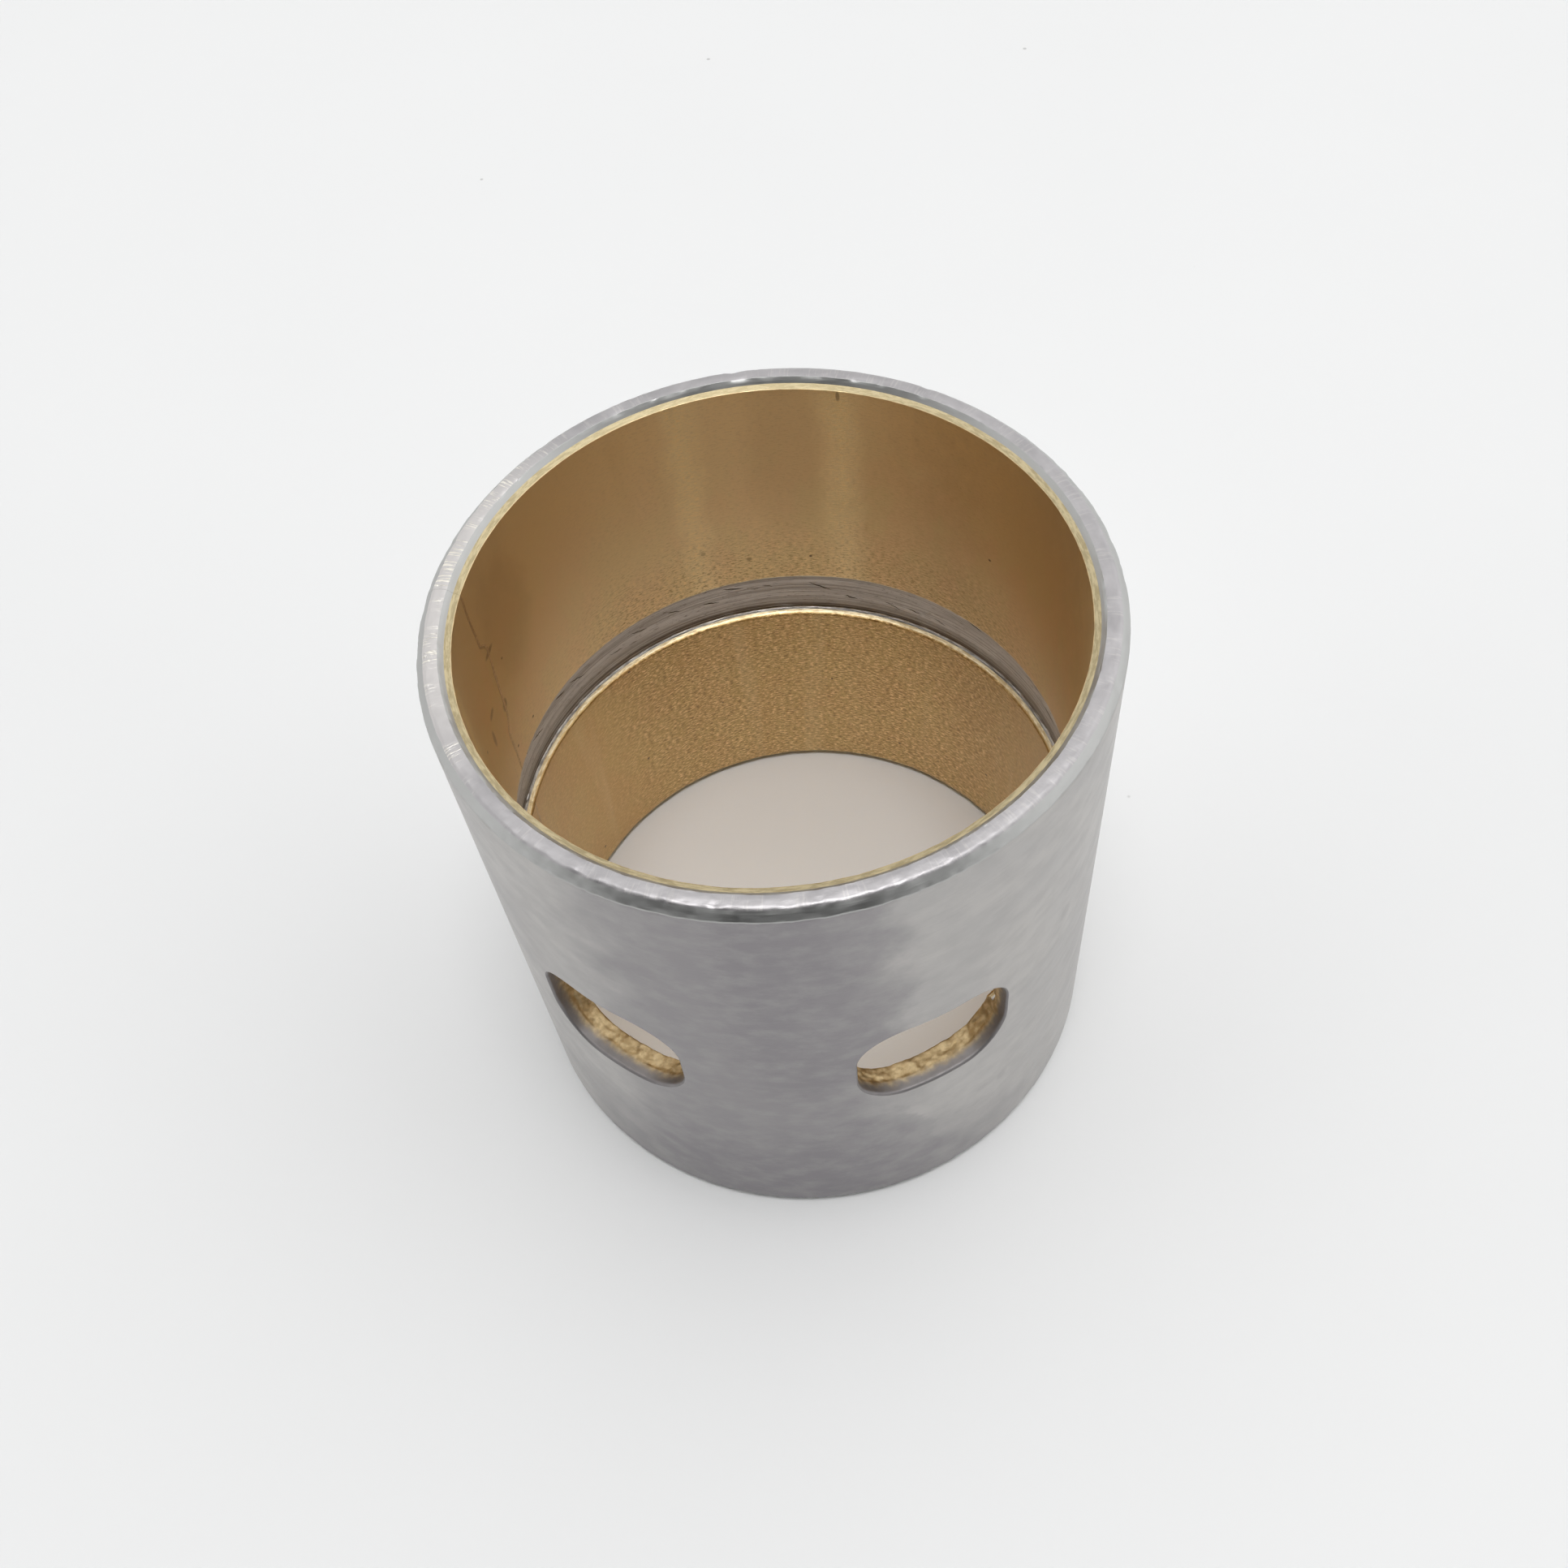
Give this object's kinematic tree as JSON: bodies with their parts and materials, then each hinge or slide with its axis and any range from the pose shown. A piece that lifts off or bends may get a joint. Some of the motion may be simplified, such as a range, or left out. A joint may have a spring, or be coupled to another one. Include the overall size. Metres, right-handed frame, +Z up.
{
  "type": "bronze sleeve bushing",
  "caption": "Plain sleeve bushing: a steel tube lined with bronze, chamfered at both ends, with an oil groove round the bore and oil slots through the wall.",
  "frame": {"origin": "centre of the lower end face, on the bushing's axis", "axes": "+Z up along the bore's axis, -Y outwards midway between the two oil slots, +X to the right when seen from there"},
  "size_m": [0.05, 0.05, 0.05],
  "materials": {
    "steel": "satin, lightly stained",
    "bronze": "sintered bronze, satin"
  },
  "bodies": {
    "root": {"steel_backing": "steel", "bronze_lining_upper": "bronze", "bronze_lining_lower": "bronze"}
  },
  "joints": []
}
